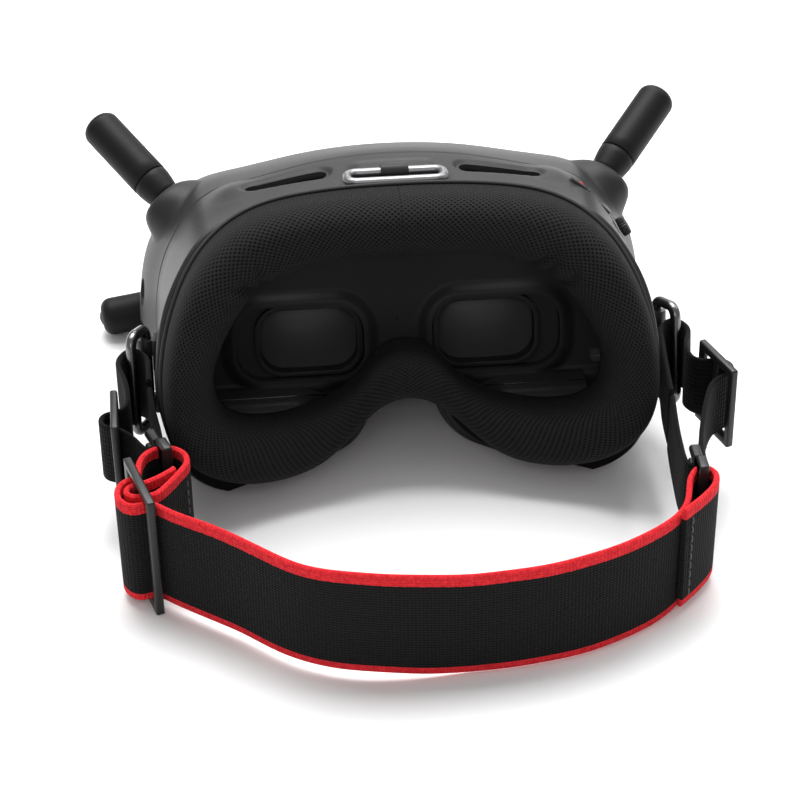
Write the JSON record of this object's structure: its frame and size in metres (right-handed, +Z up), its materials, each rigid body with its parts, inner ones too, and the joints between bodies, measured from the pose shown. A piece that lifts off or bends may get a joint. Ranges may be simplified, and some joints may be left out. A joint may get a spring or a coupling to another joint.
{
  "type": "fpv goggles",
  "caption": "Video goggles with twin sliding lenses, curved foam face pad, screw-on stub antennas, side strap rings and an adjustable elastic head band with red edges.",
  "frame": {"origin": "on the flat base in the middle plane of the housing, 55 mm forward of the forehead rim measured along the housing", "axes": "+Z up off the table, +Y the way the wearer looks (the housing is pitched 18 degrees front-down on its base), +X to the wearer's right"},
  "size_m": [0.2019, 0.2174, 0.0934],
  "materials": {
    "housing_plastic": "fine textured moulding",
    "gloss_panel": "polished",
    "inner_plastic": "matte",
    "hook_tape": "hook tape",
    "foam_mesh": "air mesh over foam",
    "steel_hardware": "satin",
    "lens_glass": "coated, clear",
    "display_module": "polished",
    "circuit_board": "solder mask",
    "heat_sink_aluminium": "anodised",
    "button_plastic": "matte",
    "loop_steel": "satin",
    "ring_steel": "dark nickel",
    "bracket_plastic": "matte",
    "webbing": "woven ribs",
    "elastic_band": "woven elastic with red edges",
    "buckle_plastic": "moulded acetal",
    "antenna_rubber": "soft touch",
    "connector_brass": "plated",
    "socket_plastic": "matte"
  },
  "bodies": {
    "housing": {"audio_jack": "socket_plastic", "av_in_jack": "socket_plastic", "band_slider": "buckle_plastic", "channel_display": "gloss_panel", "face_foam": "foam_mesh", "face_plate": "housing_plastic", "face_plate_screws": "steel_hardware", "fan_frame": "inner_plastic", "front_cover": "housing_plastic", "head_band": "elastic_band", "heat_sink": "heat_sink_aluminium", "intake_grille": "inner_plastic", "left_hook": "buckle_plastic", "left_ring_bracket": "bracket_plastic", "left_webbing": "webbing", "left_webbing_slider": "buckle_plastic", "lens_guide_rods": "steel_hardware", "lower_left_antenna_post": "connector_brass", "lower_right_antenna_post": "connector_brass", "main_board": "circuit_board", "power_jack": "socket_plastic", "rear_shell": "housing_plastic", "right_hook": "buckle_plastic", "right_ring_bracket": "bracket_plastic", "right_webbing": "webbing", "right_webbing_slider": "buckle_plastic", "rim_gasket": "hook_tape", "ring_bracket_screws": "steel_hardware", "top_loop_bracket": "bracket_plastic", "upper_left_antenna_post": "connector_brass", "upper_right_antenna_post": "connector_brass", "usb_c_port": "socket_plastic", "visor_panel": "gloss_panel"},
    "upper_left_antenna": {"upper_left_antenna": "antenna_rubber"},
    "upper_right_antenna": {"upper_right_antenna": "antenna_rubber"},
    "lower_left_antenna": {"lower_left_antenna": "antenna_rubber"},
    "left_optics": {"left_lens_barrel": "inner_plastic", "left_lens": "lens_glass", "left_display": "display_module", "left_lens_knob": "button_plastic"},
    "right_optics": {"right_lens_barrel": "inner_plastic", "right_lens": "lens_glass", "right_display": "display_module", "right_lens_knob": "button_plastic"},
    "fan_rotor": {"fan_rotor": "inner_plastic"},
    "record_button": {"record_button": "button_plastic"},
    "back_button": {"back_button": "button_plastic"},
    "joystick_plunger": {"joystick_plunger": "button_plastic"},
    "joystick_gimbal": {"joystick_gimbal": "button_plastic"},
    "joystick_cap": {"joystick_cap": "button_plastic"},
    "channel_up_button": {"channel_up_button": "button_plastic"},
    "channel_down_button": {"channel_down_button": "button_plastic"},
    "link_button": {"link_button": "button_plastic"},
    "top_strap_loop": {"top_strap_loop": "loop_steel"},
    "left_strap_ring": {"left_strap_ring": "ring_steel"},
    "right_strap_ring": {"right_strap_ring": "ring_steel"}
  },
  "joints": [
    {"name": "upper_left_antenna_turn", "type": "hinge", "parent": "housing", "child": "upper_left_antenna", "pos_m": [-0.0735, 0.0194, 0.05484], "axis": [-0.5993, 0.6822, 0.4189], "range_deg": [0, 1800]},
    {"name": "upper_right_antenna_turn", "type": "hinge", "parent": "housing", "child": "upper_right_antenna", "pos_m": [0.0735, 0.0194, 0.05484], "axis": [0.5993, 0.6822, 0.4189], "range_deg": [0, 1800]},
    {"name": "lower_left_antenna_turn", "type": "hinge", "parent": "housing", "child": "lower_left_antenna", "pos_m": [-0.061, 0.0278, 0.01016], "axis": [-0.989, -0.1184, -0.0882], "range_deg": [0, 1800]},
    {"name": "left_lens_slide", "type": "slide", "parent": "housing", "child": "left_optics", "axis": [-1, 0, 0], "range_m": [0, 0.006]},
    {"name": "right_lens_slide", "type": "slide", "parent": "housing", "child": "right_optics", "axis": [1, 0, 0], "range_m": [0, 0.006]},
    {"name": "fan_spin", "type": "hinge", "parent": "housing", "child": "fan_rotor", "pos_m": [0, 0.03132, 0.02521], "axis": [0, 0.9511, -0.309], "continuous": true},
    {"name": "record_button_press", "type": "slide", "parent": "housing", "child": "record_button", "axis": [-0.62, -0.1454, -0.771], "range_m": [0, 0.0008], "stiffness_N_per_m": 400, "springref_m": -0.0004},
    {"name": "back_button_press", "type": "slide", "parent": "housing", "child": "back_button", "axis": [-0.72, -0.1171, -0.684], "range_m": [0, 0.0008], "stiffness_N_per_m": 400, "springref_m": -0.0004},
    {"name": "joystick_press", "type": "slide", "parent": "housing", "child": "joystick_plunger", "axis": [-0.86, -0.0595, -0.5068], "range_m": [0, 0.0006], "stiffness_N_per_m": 600, "springref_m": -0.0004},
    {"name": "joystick_tilt_across", "type": "hinge", "parent": "joystick_plunger", "child": "joystick_gimbal", "pos_m": [0.07075, -0.02353, 0.05908], "axis": [0.5029, -0.2671, -0.822], "range_deg": [-12, 12], "stiffness_Nm_per_rad": 0.02},
    {"name": "joystick_tilt_along", "type": "hinge", "parent": "joystick_gimbal", "child": "joystick_cap", "pos_m": [0.07075, -0.02353, 0.05908], "axis": [0.0864, 0.9618, -0.2596], "range_deg": [-12, 12], "stiffness_Nm_per_rad": 0.02},
    {"name": "channel_up_button_press", "type": "slide", "parent": "housing", "child": "channel_up_button", "axis": [0, -0.9511, 0.309], "range_m": [0, 0.0007], "stiffness_N_per_m": 400, "springref_m": -0.0004},
    {"name": "channel_down_button_press", "type": "slide", "parent": "housing", "child": "channel_down_button", "axis": [0, -0.9511, 0.309], "range_m": [0, 0.0007], "stiffness_N_per_m": 400, "springref_m": -0.0004},
    {"name": "link_button_press", "type": "slide", "parent": "housing", "child": "link_button", "axis": [0, -0.9511, 0.309], "range_m": [0, 0.0007], "stiffness_N_per_m": 400, "springref_m": -0.0004},
    {"name": "top_loop_swing", "type": "hinge", "parent": "housing", "child": "top_strap_loop", "pos_m": [0, -0.01991, 0.0837], "axis": [-1, 0, 0], "range_deg": [0, 75]},
    {"name": "left_ring_swing", "type": "hinge", "parent": "housing", "child": "left_strap_ring", "pos_m": [-0.0819, -0.04761, 0.02983], "axis": [0, 0.309, 0.9511], "range_deg": [-5, 10]},
    {"name": "right_ring_swing", "type": "hinge", "parent": "housing", "child": "right_strap_ring", "pos_m": [0.0819, -0.04761, 0.02983], "axis": [0, 0.309, 0.9511], "range_deg": [-10, 5]}
  ]
}
